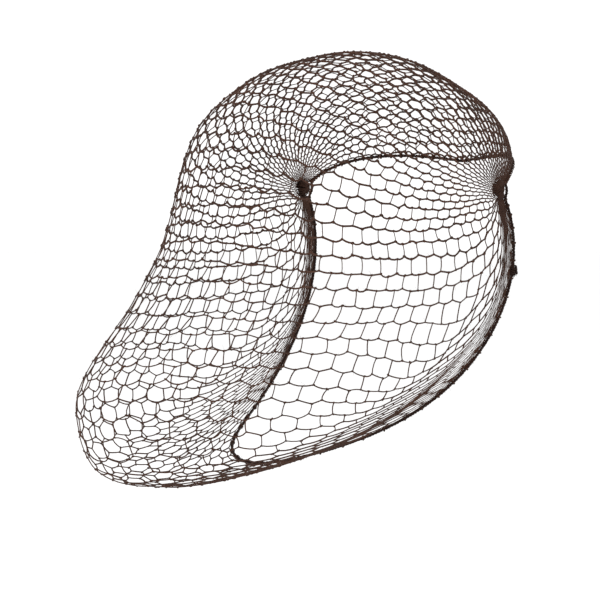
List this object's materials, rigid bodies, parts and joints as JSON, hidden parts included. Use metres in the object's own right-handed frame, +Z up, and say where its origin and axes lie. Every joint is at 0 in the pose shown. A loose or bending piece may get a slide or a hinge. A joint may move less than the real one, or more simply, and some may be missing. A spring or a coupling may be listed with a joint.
{
  "type": "hairnet",
  "caption": "Open knotted hairnet with an elastic edge, gathered at both temples, with a long bag at the back that holds rolled-up hair.",
  "frame": {"origin": "midway between the two temple gathers, inside the hollow that the head fills", "axes": "+Z up, the wearer faces -Y, the wearer's left is +X, and the bag lies to +Y"},
  "size_m": [0.1705, 0.2872, 0.2435],
  "materials": {
    "netting": "fine twisted thread, dark brown, knotted into open six-sided meshes",
    "elastic": "thread-covered elastic cord, near-black brown, matt",
    "gathered_thread": "bunched thread, dark brown, matt"
  },
  "bodies": {
    "root": {"net": "netting", "edge_elastic": "elastic", "temple_gather_right": "gathered_thread", "temple_gather_left": "gathered_thread", "elastic_knot": "elastic"}
  },
  "joints": []
}
